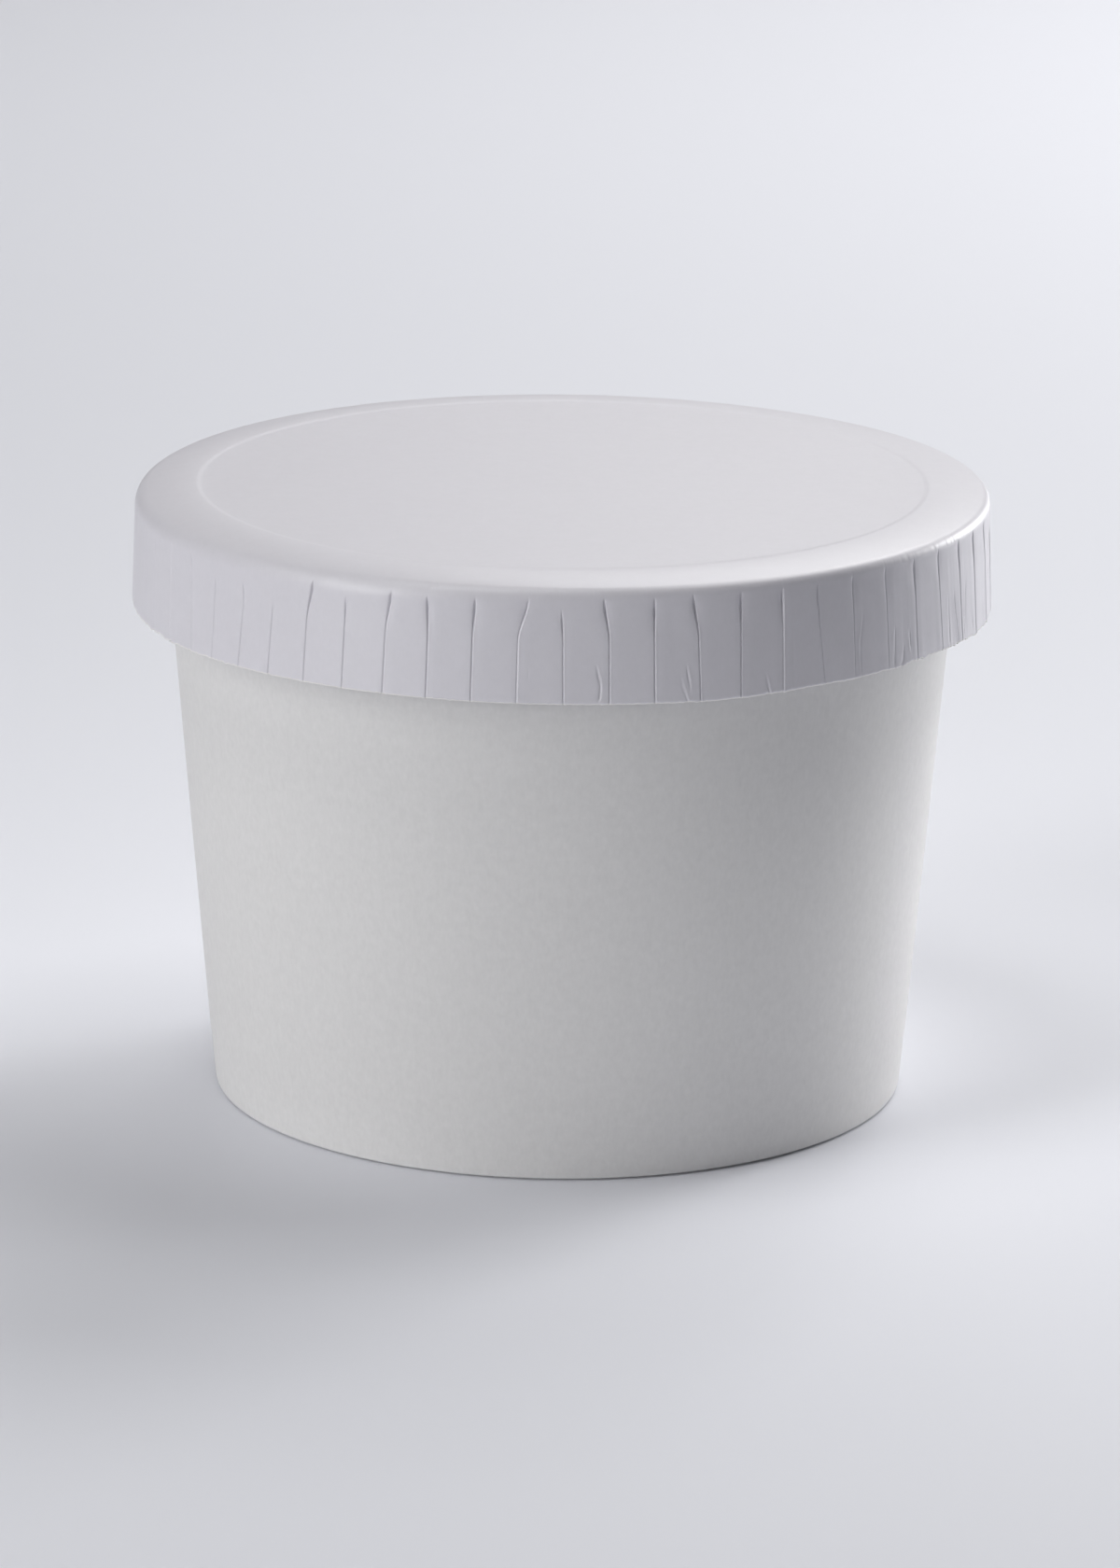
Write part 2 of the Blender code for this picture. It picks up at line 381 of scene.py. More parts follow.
def bridge(upper, lower):
    """Faces between two rings of vertex numbers, of which the second follows the first.

    Rings of one length give quads and a single point gives a fan. Where one ring has k
    times the points of the other, each long edge meets k short ones in one face.
    """
    if len(upper) == 1:
        tip = np.full(len(lower), upper[0])
        return np.stack([tip, lower, np.roll(lower, -1)], 1).tolist()
    if len(lower) == 1:
        tip = np.full(len(upper), lower[0])
        return np.stack([upper, tip, np.roll(upper, -1)], 1).tolist()
    if len(lower) > len(upper):
        fine = lower.reshape(len(upper), -1)
        end = np.roll(fine[:, 0], -1)
        return np.column_stack([upper, fine, end, np.roll(upper, -1)]).tolist()
    if len(upper) > len(lower):
        fine = upper.reshape(len(lower), -1)[:, ::-1]
        start = np.roll(fine[:, -1], -1)
        return np.column_stack([lower, np.roll(lower, -1), start, fine]).tolist()
    return np.stack([upper, lower, np.roll(lower, -1), np.roll(upper, -1)], 1).tolist()


def make_piece(name, rings, closed, materials, marks=()):
    """A mesh object from rings of points, each joined to the next.

    closed joins the last ring to the first. marks are the numbers of the rings after
    which the faces take the second material, the cut edge of the board with its painted
    highlight.
    """
    starts = np.cumsum([0] + [len(ring) for ring in rings])
    numbers = [np.arange(a, b) for a, b in zip(starts[:-1], starts[1:])]
    pairs = list(zip(numbers[:-1], numbers[1:]))
    if closed:
        pairs.append((numbers[-1], numbers[0]))
    faces, finish = [], []
    for index, (upper, lower) in enumerate(pairs):
        band = bridge(upper, lower)
        faces += band
        finish += [1 if index in marks else 0] * len(band)
    mesh = bpy.data.meshes.new(name)
    mesh.from_pydata(np.concatenate(rings).tolist(), [], faces)
    for material in materials:
        mesh.materials.append(material)
    mesh.polygons.foreach_set("material_index", finish)
    mesh.update()
    mesh.shade_smooth()
    piece = bpy.data.objects.new(name, mesh)
    bpy.context.scene.collection.objects.link(piece)
    return piece


def settle(piece, node):
    """Tie a finished piece to the root body and hide the solid it stands for."""
    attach(piece, "root")
    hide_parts(node)


# ---------------------------------------------------------------- materials


def new_material(name):
    """A node material with an empty tree."""
    material = bpy.data.materials.new(name)
    material.use_nodes = True
    material.node_tree.nodes.clear()
    return material


def add_node(material, kind, inputs=(), **settings):
    """Add one shader node. settings are its own, inputs are (socket, value or output)."""
    node = material.node_tree.nodes.new("ShaderNode" + kind)
    for name, value in settings.items():
        setattr(node, name, value)
    for socket, value in inputs:
        if isinstance(value, bpy.types.NodeSocket):
            material.node_tree.links.new(value, node.inputs[socket])
        else:
            node.inputs[socket].default_value = value
    return node


def board_material(name, colour, shade, cloud, tuft, depth, roughness, specular):
    """Paperboard: clouds of colour over tufts of fibre, drawn out upright.

    shade is the share of light that the darkest spots lose, cloud and tuft are the sizes
    of the two patterns, and depth is how deep the tufts stand. Single fibres, 0.02 to
    0.04 mm wide, are too fine to show, so the tufts are as coarse as they need to be.
    """
    material = new_material(name)
    spot = add_node(material, "TexCoord").outputs["Object"]
    upright = add_node(material, "Mapping", [("Vector", spot), ("Scale", (1.0, 1.0, 0.45))])
    clouds = add_node(
        material,
        "TexNoise",
        [("Vector", spot), ("Scale", 1.0 / cloud), ("Detail", 3.0), ("Roughness", 0.6)],
    )
    tufts = add_node(
        material,
        "TexNoise",
        [
            ("Vector", upright.outputs["Vector"]),
            ("Scale", 1.0 / tuft),
            ("Detail", 3.0),
            ("Roughness", 0.65),
        ],
    )
    both = add_node(
        material,
        "Mix",
        [("Factor", 0.5), ("A", clouds.outputs["Fac"]), ("B", tufts.outputs["Fac"])],
        data_type="FLOAT",
    )
    ramp = add_node(material, "ValToRGB", [("Fac", both.outputs[0])])
    darkest, lightest = ramp.color_ramp.elements
    darkest.position = 0.35
    lightest.position = 0.65
    darkest.color = (*[c * (1.0 - shade) for c in colour], 1.0)
    lightest.color = (*colour, 1.0)
    bump = add_node(
        material,
        "Bump",
        [("Height", tufts.outputs["Fac"]), ("Distance", depth), ("Strength", 1.0)],
    )
    shader = add_node(
        material,
        "BsdfPrincipled",
        [
            ("Base Color", ramp.outputs["Color"]),
            ("Roughness", roughness),
            ("Specular IOR Level", specular),
            ("Normal", bump.outputs["Normal"]),
        ],
    )
    add_node(material, "OutputMaterial", [("Surface", shader.outputs["BSDF"])])
    return material


def lid_board(settings):
    """Clay-coated board, calendered and pressed: smooth, cool white, a satin sheen."""
    return board_material(
        "clay_coated_lid_board",
        settings.lid_colour,
        shade=0.03,
        cloud=1.6 * MM,
        tuft=0.35 * MM,
        depth=0.006 * MM,
        roughness=0.42,
        specular=0.75,
    )


def tub_board(settings):
    """Uncoated cup board: matte, warmer, its fibres show as fine clouds and a nap."""
    return board_material(
        "uncoated_cup_board",
        settings.tub_colour,
        shade=0.06,
        cloud=1.1 * MM,
        tuft=0.45 * MM,
        depth=0.010 * MM,
        roughness=0.62,
        specular=0.35,
    )


def pulp_edge_with_painted_highlight(settings):
    """Cut edge of the board: bare pulp, rough-cut and quite matte, its colour lifted above either
    board's as a painted highlight along the cut.
    """
    return board_material(
        "cut_edge_pulp_and_painted_highlight",
        settings.edge_pulp_and_highlight_colour,
        shade=0.08,
        cloud=0.8 * MM,
        tuft=0.15 * MM,
        depth=0.010 * MM,
        roughness=0.8,
        specular=0.2,
    )


def studio_paper(settings):
    """Seamless matte backdrop paper, plain and pale."""
    material = new_material("matte_backdrop_paper")
    shader = add_node(
        material,
        "BsdfPrincipled",
        [
            ("Base Color", (*settings.floor_colour, 1.0)),
            ("Roughness", 0.75),
            ("Specular IOR Level", 0.25),
        ],
    )
    add_node(material, "OutputMaterial", [("Surface", shader.outputs["BSDF"])])
    return material


# ---------------------------------------------------------------- the lid


def pleat_table():
    """All pleats round the skirt as columns: the listed ones, then the rest at the back.

    The rest share the gap evenly, each pushed aside a little and given a head, a lean,
    a depth and a lip at random within what the listed ones have.
    """
    listed = np.array(PLEATS)
    spare = PLEAT_COUNT - len(listed)
    random = np.random.default_rng(PLEAT_SEED)
    first, last = listed[-1, 0], listed[0, 0] + 360.0
    steps = (np.arange(spare) + 1.0) / (spare + 1.0)
    push = random.uniform(-BACK_PUSH, BACK_PUSH, spare)
    others = np.empty((spare, listed.shape[1]))
    others[:, 0] = first + (last - first) * steps + push
    others[:, 1] = random.choice(BACK_STARTS, spare, p=BACK_START_ODDS)
    others[:, 2] = random.choice(BACK_HEADS, spare) * random.uniform(*BACK_HEAD_SHARES, spare)
    others[:, 3] = random.normal(0.0, BACK_LEAN, spare)
    others[:, 4] = random.uniform(*BACK_DEPTHS, spare)
    others[:, 5] = random.uniform(*BACK_LIPS, spare)
    table = np.concatenate([listed, others])
    table[:, 0] = wrapped(table[:, 0], 360.0)
    table = table[np.argsort(table[:, 0])]
    table[:, [1, 4, 5]] *= MM
    table[:, [0, 2, 3]] *= math.pi / 180.0
    return table


def crease_table():
    """The listed creases, then short ones at random near the cut edge at the back.

    One that would run across the back, where the angles start again, is left out.
    """
    random = np.random.default_rng(CREASE_SEED)
    top = random.uniform(*BACK_ANGLES, BACK_CREASES)
    height = random.uniform(*BACK_CREASE_TOPS, BACK_CREASES)
    end = top + random.normal(0.0, BACK_CREASE_LEAN, BACK_CREASES)
    end_height = np.full(BACK_CREASES, BACK_CREASE_END)
    depth = random.uniform(*BACK_CREASE_DEPTHS, BACK_CREASES)
    proud = random.choice(BACK_CREASE_SIDES, BACK_CREASES)
    others = np.stack([top, height, end, end_height, depth, proud], 1)
    table = np.concatenate([np.array(CREASES), others])
    table[:, [0, 2]] = wrapped(table[:, [0, 2]], 360.0)
    table = table[np.abs(table[:, 0] - table[:, 2]) < 90.0]
    table[:, [0, 2]] *= math.pi / 180.0
    table[:, [1, 3, 4]] *= MM
    return table


def close_columns(pleats, creases, count):
    """Angles of the lid's columns, crowded where a pleat or a crease needs them.

    A density is 1 everywhere plus two bells over each pleat, and at least a plateau over
    each crease. Its running sum, cut into equal parts, gives the angles.
    """
    fine = np.linspace(-math.pi, math.pi, FINE_ANGLES)

    def gap(a, b):
        """Distance along the skirt between two angles, the short way round."""
        return np.abs(wrapped(a - b, WHOLE_TURN)) * LID_RADIUS

    near = gap(fine[:, None], pleats[None, :, 0]).min(1)
    density = 1.0
    for height, width in PLEAT_CROWDS:
        density = density + height * bell(near, width)
    middle = 0.5 * (creases[:, 0] + creases[:, 2])
    half = 0.5 * np.abs(creases[:, 0] - creases[:, 2]) * LID_RADIUS + CREASE_MARGIN
    inside = (gap(fine[:, None], middle[None]) < half[None]).any(1)
    density = np.maximum(density, np.where(inside, CREASE_CROWD, 0.0))
    total = np.concatenate([[0.0], np.cumsum(0.5 * (density[1:] + density[:-1]))])
    return np.interp(np.arange(count) / count, total / total[-1], fine)


def crisp_share(angles):
    """How much of the crisp bend there is: a smooth step of the cosine from its middle."""
    return above(np.cos(angles - CRISP_MIDDLE), *CRISP_SPREAD)


def pleats_beside(columns, pleats):
    """The pleats on both sides of each column.

    They are the table with its last and first rows repeated past its ends, the number
    of the pleat before each column, and the share of the way from that to the next.
    """
    ring = np.concatenate([pleats[-1:], pleats, pleats[:1]])
    ring[0, 0] -= WHOLE_TURN
    ring[-1, 0] += WHOLE_TURN
    before = np.clip(np.searchsorted(ring[:, 0], columns) - 1, 0, len(ring) - 2)
    way = (columns - ring[before, 0]) / (ring[before + 1, 0] - ring[before, 0])
    return ring, before, way


def lean_with_pleats(columns, heights, pleats):
    """Sideways shift of each column at each height, so that columns follow the pleats.

    A pleat's head swings aside as a smooth step of the height, and its foot leans in
    proportion to the distance below the skirt's upper part. Between two pleats the shift
    is shared out by distance.
    """
    ring, before, way = pleats_beside(columns, pleats)
    lean_z, lean_span = FOOT_LEAN
    foot = np.clip((lean_z - heights) / lean_span, 0.0, FOOT_LEAN_MOST)
    hook = (1.0 - way) * ring[before, 2] + way * ring[before + 1, 2]
    lean = (1.0 - way) * ring[before, 3] + way * ring[before + 1, 3]
    return above(heights, *HEAD_SWING) * hook + foot * lean


def skirt_relief(columns, heights, pleats, settings):
    """How far the skirt stands off its round at each column and height, outwards up.

    Each pleat is a narrow bell-shaped slit in a wider shallow trough, both growing from
    nothing at the pleat's start and both stronger at its head. Its lip adds a step that
    dies away to either side, and a low bead runs along its right-hand side. Between two
    pleats the board is flatter than the round, as a squared sine of the way across.
    """
    ring, before, way = pleats_beside(columns, pleats)
    near = np.where(way < 0.5, before, before + 1)
    aside = (columns - ring[near, 0]) * LID_RADIUS
    start, depth, lip = ring[near, 1], ring[near, 4], ring[near, 5]
    head = above(heights, *HEAD_GROWTH)

    def share(foot, more):
        """A share at the pleat's foot and what the head adds to it."""
        return foot + more * head

    width = settings.pleat_width * share(*SLIT_WIDTHS)
    slit = depth * share(*SLIT_DEPTHS) * bell(aside, width)
    trough = depth * share(*TROUGH_DEPTHS) * bell(aside, TROUGH_WIDTH)
    step = lip * share(*LIP_HEIGHTS) * np.tanh(aside / LIP_WIDTH)
    step = step * np.exp(-np.abs(aside) / LIP_REACH)
    bead = BEAD_SHARE * depth * (1.0 + head) * bell(aside - BEAD_ASIDE, BEAD_WIDTH)
    flat = settings.panel_flatness * np.sin(math.pi * way) ** 2 * below(heights, *FLAT_FADE)
    return below(heights, start, PLEAT_FADE) * (step + bead - slit - trough) - flat


def crease_relief(angles, heights, creases):
    """The creases' share of the relief: each a short dent along a straight line.

    The dent is a bell of the distance to the line. A step across the line raises one of
    its sides, lowers the other as much, and dies away with the distance. Both grow from
    nothing at the crease's upper end.
    """
    relief = np.zeros_like(heights)
    for start_a, start_z, end_a, end_z, depth, proud in creases:
        run_s, run_z = (end_a - start_a) * LID_RADIUS, end_z - start_z
        length = math.hypot(run_s, run_z)
        off_s = (angles - start_a) * LID_RADIUS
        off_z = heights - start_z
        along = (off_s * run_s + off_z * run_z) / length**2
        side = (off_s * run_z - off_z * run_s) / length
        past = np.where(along > 1.0, along - 1.0, np.minimum(along, 0.0)) * length
        far = np.hypot(side, past)
        dent = bell(far, CREASE_WIDTH)
        step = proud * np.tanh(-side / CREASE_STEP) * np.exp(-far / CREASE_REACH)
        relief += smooth_step(along / CREASE_GROWTH) * depth * (step - dent)
    return relief


def streak_relief(angles, heights):
    """Fine upright wrinkles that the pressing left.

    They are a fifth as strong in front as at the sides, and half as strong high up as low
    down. On the crisp bend they turn into a row of small puckers, a bell of the height.
    """
    aside = above(np.degrees(np.abs(angles)), *STREAK_SIDES)
    strength = (0.2 + 0.8 * aside) * (0.5 + 0.5 * below(heights, *STREAK_LOW))
    streaks = ripple(angles, *SKIRT_STREAKS) * below(heights, *STREAK_FADE) * strength
    bend = bell(heights - PUCKER_Z, PUCKER_WIDTH) * crisp_share(angles)
    return streaks + ripple(angles, *BEND_PUCKERS) * bend


def lip_relief(angles, rise, settings):
    """The cut edge's share of the relief, from how far each point rises above the cut.

    The board turns out by half the lip, falling off as e to the minus rise, and its
    corner is bevelled back by the power 1.5 of the way down to the cut.
    """
    where = np.degrees(angles)
    least, more = EDGE_LIP_SHARES
    share = least + more * above(where, *EDGE_LIP_GROWS)
    share = share * (1.0 - EDGE_LIP_LOSS * above(where, *EDGE_LIP_LESSENS))
    slant = np.clip(1.0 - rise / CUT_SLANT, 0.0, 1.0) ** 1.5
    return settings.edge_lip * share * (0.5 * np.exp(-rise / EDGE_LIP_REACH) - slant)


def lid_outline(bend, drop):
    """Radius, height and slope of the lid's outer line, from the middle to the cut edge.

    The panel with its pressed step comes first, then three arcs, then the straight
    skirt, whose rows crowd towards the mean cut edge. An arc of radius R between slopes
    a and b moves out by R (sin b - sin a) and down by R (cos a - cos b).
    """
    crown, crown_end, shoulder, shoulder_end = bend
    radius = np.concatenate([PANEL_STEPS, np.linspace(PANEL_RADIUS, CROWN_START, STEP_ROWS)])
    rise = above(radius, PANEL_RADIUS, CROWN_START - PANEL_RADIUS)
    rows = [np.stack([radius, LID_TOP_Z - drop * (1.0 - rise), np.zeros_like(radius)], 1)]
    arcs = (
        (crown, crown_end, CROWN_ROWS),
        (shoulder, shoulder_end, SHOULDER_ROWS),
        (TURN_RADIUS, SKIRT_LEAN, TURN_ROWS),
    )
    for size, end, steps in arcs:
        start_r, start_z, start = rows[-1][-1]
        slope = np.linspace(start, end, steps + 1)[1:]
        out = start_r + size * (np.sin(slope) - math.sin(start))
        down = start_z - size * (math.cos(start) - np.cos(slope))
        rows.append(np.stack([out, down, slope], 1))
    top_r, top_z, _ = rows[-1][-1]
    parts = zip((top_z, *SKIRT_PARTS_Z[:-1]), SKIRT_PARTS_Z, SKIRT_ROWS)
    heights = [np.linspace(*part)[1:] for part in parts]
    heights = np.concatenate([*heights, SKIRT_EDGE_Z + EDGE_STEPS])
    out = top_r + (top_z - heights) / math.tan(SKIRT_LEAN)
    rows.append(np.stack([out, heights, np.full(len(heights), SKIRT_LEAN)], 1))
    return np.concatenate(rows)


def outline_at(angles, drop):
    """The outline's radii, heights and slopes, each a table of rows by angles.

    They are mixed from the two bends by the share of the crisp one.
    """
    share = crisp_share(angles)
    soft = lid_outline(SOFT_BEND, drop)
    crisp = lid_outline(CRISP_BEND, drop)
    mixed = np.multiply.outer(soft.T, 1.0 - share) + np.multiply.outer(crisp.T, share)
    return mixed[0], mixed[1], mixed[2]


def cut_edge_height(angles):
    """Height of the skirt's cut edge: the listed wave plus fine raggedness.

    The raggedness is least in front and three times as strong from 55 degrees aside.
    """
    listed = np.array(EDGE_WAVE)
    wave = np.interp(np.degrees(angles), listed[:, 0], listed[:, 1], period=360.0) * MM
    torn = 1.0 + TORN_MORE * above(np.degrees(np.abs(angles)), *TORN_SIDES)
    ragged = ripple(angles, *CUT_WAVES) + ripple(angles, *CUT_FIBRES)
    return SKIRT_EDGE_Z + wave + torn * ragged


def hang_share(height):
    """Share of the way down from the turn's end to the mean cut edge, row by row."""
    top = height[TURN_ROW]
    return np.clip((top - height) / (top - SKIRT_EDGE_Z), 0.0, 1.0)


def top_warp(angles, radius):
    """Unevenness of the lid's top, growing with the square of the radius."""
    return ripple(angles, *LID_WARP) * np.clip(radius / PANEL_RADIUS, 0.0, 1.0) ** 2


def top_rings(coarse, settings):
    """Rings of the outer skin from the lid's middle to its shoulder."""
    radius, height, _ = outline_at(coarse, settings.panel_drop)
    warp = top_warp(coarse, radius)
    rings = [np.array([[0.0, 0.0, height[0, 0]]])]
    for row in range(1, SHOULDER_ROW):
        ring = place(radius[row], coarse, height[row] + warp[row])
        rings.append(ring[::FEW_STEP] if radius[row, 0] < FEW_RADIUS else ring)
    return rings


def skirt_rings(fine, edge, pleats, creases, settings):
    """Rings of the outer skin from the shoulder to the cut edge, then two of the cut.

    Each point is moved off the outline, square to its slope, by all the relief, and
    outwards by a slow sway that grows towards the cut edge.
    """
    outline = outline_at(fine, settings.panel_drop)
    hang = hang_share(outline[1])[SHOULDER_ROW:]
    radius, height, slope = (part[SHOULDER_ROW:] for part in outline)
    heights = height + hang * (edge - SKIRT_EDGE_Z)
    angles = fine[None] + lean_with_pleats(fine[None], heights, pleats)
    relief = skirt_relief(fine[None], heights, pleats, settings)
    relief = relief + crease_relief(angles, heights, creases)
    relief = relief + streak_relief(fine[None], heights)
    relief = relief + lip_relief(fine, heights - edge, settings) * (height < EDGE_LIP_TOP_Z)
    sway = ripple(fine, *SKIRT_SWAY) * hang
    skin_r = radius + (relief + sway) * np.sin(slope)
    skin_z = heights + relief * np.cos(slope) + ripple(fine, *LID_WARP) * (1.0 - hang)
    outer_cut = place(skin_r[-1] - CUT_BEVEL, angles[-1], edge)
    inner_cut = place(skin_r[-1] - settings.board + INNER_CUT_BEVEL, angles[-1], edge)
    return [*place(skin_r, angles, skin_z), outer_cut, inner_cut]


def inner_rings(coarse, edge, pleats, settings):
    """Rings of the inner skin, from the cut edge back up to the middle.

    It is the outer line moved in by the board's thickness. Inside each pleat it carries
    a low ridge, the spare board that the pleat took up.
    """
    board = settings.board
    radius, height, slope = outline_at(coarse, settings.panel_drop)
    warp = top_warp(coarse, radius)
    hang = hang_share(height)
    rings = []
    for row in INNER_SKIRT_ROWS:
        low = height[row] + hang[row] * (edge - SKIRT_EDGE_Z)
        gather = np.clip(-skirt_relief(coarse, low, pleats, settings), 0.0, None)
        inset = board + gather * RIDGE_SHARE * below(low, *RIDGE_FADE)
        sway = ripple(coarse, *SKIRT_SWAY) * hang[row]
        inner_r = radius[row] + sway - inset * np.sin(slope[row])
        angles = coarse + lean_with_pleats(coarse, low, pleats)
        rings.append(place(inner_r, angles, low - inset * np.cos(slope[row])))
    for row in INNER_CROWN_ROWS:
        inner_r = radius[row] - board * np.sin(slope[row])
        inner_z = height[row] + warp[row] - board * np.cos(slope[row])
        rings.append(place(inner_r, coarse, inner_z))
    for row in INNER_PANEL_ROWS:
        rings.append(place(radius[row], coarse, height[row] - board)[::FEW_STEP])
    rings.append(np.array([[0.0, 0.0, height[0, 0] - board]]))
    return rings


def make_lid(settings):
    """The lid: outer skin from the middle to the cut edge, and back up the inside."""
    pleats, creases = pleat_table(), crease_table()
    fine = close_columns(pleats, creases, LID_COLUMNS)
    coarse = fine[::COARSE_STEP]
    edge = cut_edge_height(fine)
    rings = top_rings(coarse, settings) + skirt_rings(fine, edge, pleats, creases, settings)
    # the bare edge, pale as a painted highlight, runs from the skin's last row but one to the
    # first row inside
    last_cut = len(rings) - 1
    marks = range(last_cut - 3, last_cut + 1)
    rings += inner_rings(coarse, edge[::COARSE_STEP], pleats, settings)
    lid = make_piece("lid_sheet", rings, False, [lid_board(settings), pulp_edge_with_painted_highlight(settings)], marks)
    settle(lid, "lid")
    return lid


# ---------------------------------------------------------------- the tub


def wall_radius(z):
    """Outside radius of the wall at a height."""
    return FOOT_RADIUS + WALL_SLOPE * z


def tub_columns(seam):
    """Even columns round the tub, with a few more where the side seam steps."""
    even = np.linspace(-math.pi, math.pi, WALL_COLUMNS, endpoint=False)
    extra = wrapped(seam + SEAM_COLUMNS / FOOT_RADIUS, WHOLE_TURN)
    return np.sort(np.concatenate([even, extra]))


def seam_rise(angles, seam, settings):
    """How far the outer layer of the side seam lifts the wall's face.

    It rises as a smooth step over the overlap up to the cut edge, and drops back in one
    step there.
    """
    way = (angles - seam) * FOOT_RADIUS
    overlap = settings.seam_overlap
    return smooth_step(1.0 + way / overlap) * (way < 0.0) * settings.seam_step


def outer_section(settings):
    """The wall's outer face down to its fold, as radius, height and share of the sway."""
    heights = np.concatenate([np.linspace(*rows) for rows in WALL_ROWS]) * MM
    pinch = settings.foot_pinch * below(heights, *PINCH_FADE)
    section = [(wall_radius(z) - p, z, 1.0) for z, p in zip(heights, pinch)]
    outside = FOOT_RADIUS - settings.foot_pinch
    for angle in np.linspace(0.0, FOLD_END, ARC_POINTS):
        turn_in = FOLD_ROUND * (1.0 - math.cos(angle))
        fold_z = FOLD_Z - FOLD_ROUND * math.sin(angle)
        section.append((outside - turn_in, fold_z, FOLD_SHARE))
    corner_width, corner_height = FOLD_CORNER
    section.append((outside - FOLD_TUCK, corner_height, 0.0))
    section.append((outside - FOLD_TUCK - corner_width, 0.0, 0.0))
    return section


def turned_in_section():
    """The foot's rounding and the turned-in edge inside it, up to its cut."""
    inside = FOOT_RADIUS - FOOT_WIDTH
    section = []
    for angle in np.linspace(math.pi / 2.0, 0.0, ARC_POINTS):
        r = inside + FOOT_ROUND * (1.0 - math.cos(angle))
        section.append((r, FOOT_ROUND * (1.0 - math.sin(angle)), 0.0))
    for z in (*TURN_IN_ROWS, TURN_IN_Z - CUT_ROUND):
        section.append((inside + WALL_SLOPE * z, z, 0.0))
    return section


def inner_section(board):
    """The cut of the turned-in edge, the slot behind it, the inner face and the rim."""
    cut_r = FOOT_RADIUS - FOOT_WIDTH + WALL_SLOPE * TURN_IN_Z
    section = [
        (cut_r + CUT_ROUND, TURN_IN_Z, 0.0),
        (cut_r + board - CUT_ROUND, TURN_IN_Z, 0.0),
        (cut_r + board, TURN_IN_Z - CUT_ROUND, 0.0),
        (cut_r + board - SLOT_TAPER, SLOT_Z, 0.0),
        (wall_radius(SLOT_Z) - board, SLOT_Z, 0.0),
    ]
    for z in np.linspace(*INNER_WALL_ROWS) * MM:
        section.append((wall_radius(z) - board, z, 0.0))
    for angle in np.linspace(*BEAD_SWEEP):
        r = BEAD_CENTRE_R + BEAD_RADIUS * math.cos(angle)
        z = BEAD_CENTRE_Z + BEAD_RADIUS * math.sin(angle)
        section.append((r, z, RIM_SHARE))
    return section


def make_wall(settings):
    """The wall: outer face, folded foot, turned-in edge, inner face and rolled rim.

    The section is turned round the axis. The seam's rise and a sway, strongest half way
    up, are added to its radius by each row's share.
    """
    columns = tub_columns(settings.seam_angle)
    lift = seam_rise(columns, settings.seam_angle, settings)
    section = outer_section(settings) + turned_in_section()
    cut = len(section) - 1
    section += inner_section(settings.board)
    sway = ripple(columns, *WALL_SWAY)
    rings = []
    for r, z, share in section:
        uneven = sway * share * math.sin(math.pi * min(1.0, z / TUB_TOP_Z))
        rings.append(place(r + lift * share + uneven, columns, z))
    # the turned-in edge's cut takes the same pale edge colour, a painted highlight
    marks = range(cut, cut + 3)
    wall = make_piece("tub_wall", rings, True, [tub_board(settings), pulp_edge_with_painted_highlight(settings)], marks)
    settle(wall, "tub")
    return wall


def base_bend(out, top, slopes):
    """Points of the base's rounded corner, a quarter circle between disc and flange.

    At a slope a it lies in from its outer end by R (1 - sin a), and down by R (1 - cos a).
    """
    return [
        (out - BASE_BEND * (1.0 - math.sin(a)), top - BASE_BEND * (1.0 - math.cos(a)))
        for a in slopes
    ]


def make_base(settings):
    """The base disc: flat, with a rounded corner and a flange gripped in the foot."""
    top = BASE_Z + settings.board
    outside = wall_radius(BASE_Z) - settings.board - FLANGE_GAP
    inside = outside - settings.board + FLANGE_SQUEEZE
    section = [(0.0, top), (FEW_RADIUS, top), (outside - BASE_BEND, top)]
    section += base_bend(outside, top, np.linspace(*OUTER_BEND_ROWS) * math.pi / 2.0)
    section.append((outside - FLANGE_LEAN, FLANGE_Z))
    section.append((inside - FLANGE_LEAN, FLANGE_Z))
    section.append((inside - FLANGE_LEAN_TOP, BASE_Z - BASE_BEND))
    section += base_bend(inside, BASE_Z, np.linspace(*INNER_BEND_ROWS) * math.pi / 2.0)
    section += [(r * MM, BASE_Z + press * MM) for r, press in UNDERSIDE]
    columns = np.linspace(-math.pi, math.pi, BASE_COLUMNS, endpoint=False)
    few = columns[::BASE_FEW_STEP]
    rings = []
    for r, z in section:
        if r == 0.0:
            rings.append(np.array([[0.0, 0.0, z]]))
        else:
            rings.append(place(r, few if r <= FEW_RADIUS else columns, z))
    base = make_piece("tub_base", rings, False, [tub_board(settings)])
    settle(base, "tub")
    return base


# ---------------------------------------------------------------- the studio


def make_floor(settings):
    """A wide round floor whose far rim curls up, a backdrop from every side.

    It is flat out to the sweep's start, then follows a quarter circle up.
    """
    columns = np.linspace(-math.pi, math.pi, FLOOR_COLUMNS, endpoint=False)[::-1]
    section = [(r, 0.0) for r in FLOOR_RINGS]
    for angle in np.linspace(0.0, math.pi / 2.0, FLOOR_CURL_ROWS)[1:]:
        r = FLOOR_FLAT + FLOOR_CURL * math.sin(angle)
        section.append((r, FLOOR_CURL * (1.0 - math.cos(angle))))
    rings = [np.array([[0.0, 0.0, 0.0]])]
    rings += [place(r, columns, z) for r, z in section]
    floor = make_piece("floor", rings, False, [studio_paper(settings)])
    return floor


def soft_box(name, azimuth, away, height, aim, wide, tall, power, grid):
    """A white area light, turned to the point on the axis at the height it aims at.

    Its middle is away from the axis at the azimuth, in degrees from the front. grid is
    the whole angle that its grid lets light out in.
    """
    lamp = bpy.data.lights.new(name, "AREA")
    lamp.shape = "RECTANGLE"
    lamp.size, lamp.size_y = wide, tall
    lamp.energy = power
    lamp.spread = math.radians(grid)
    light = bpy.data.objects.new(name, lamp)
    turn = math.radians(azimuth)
    light.location = (away * math.sin(turn), -away * math.cos(turn), height)
    back = light.location.copy()
    back.z -= aim
    light.rotation_mode = "QUATERNION"
    light.rotation_quaternion = back.to_track_quat("Z", "Y")
    bpy.context.scene.collection.objects.link(light)
    return light


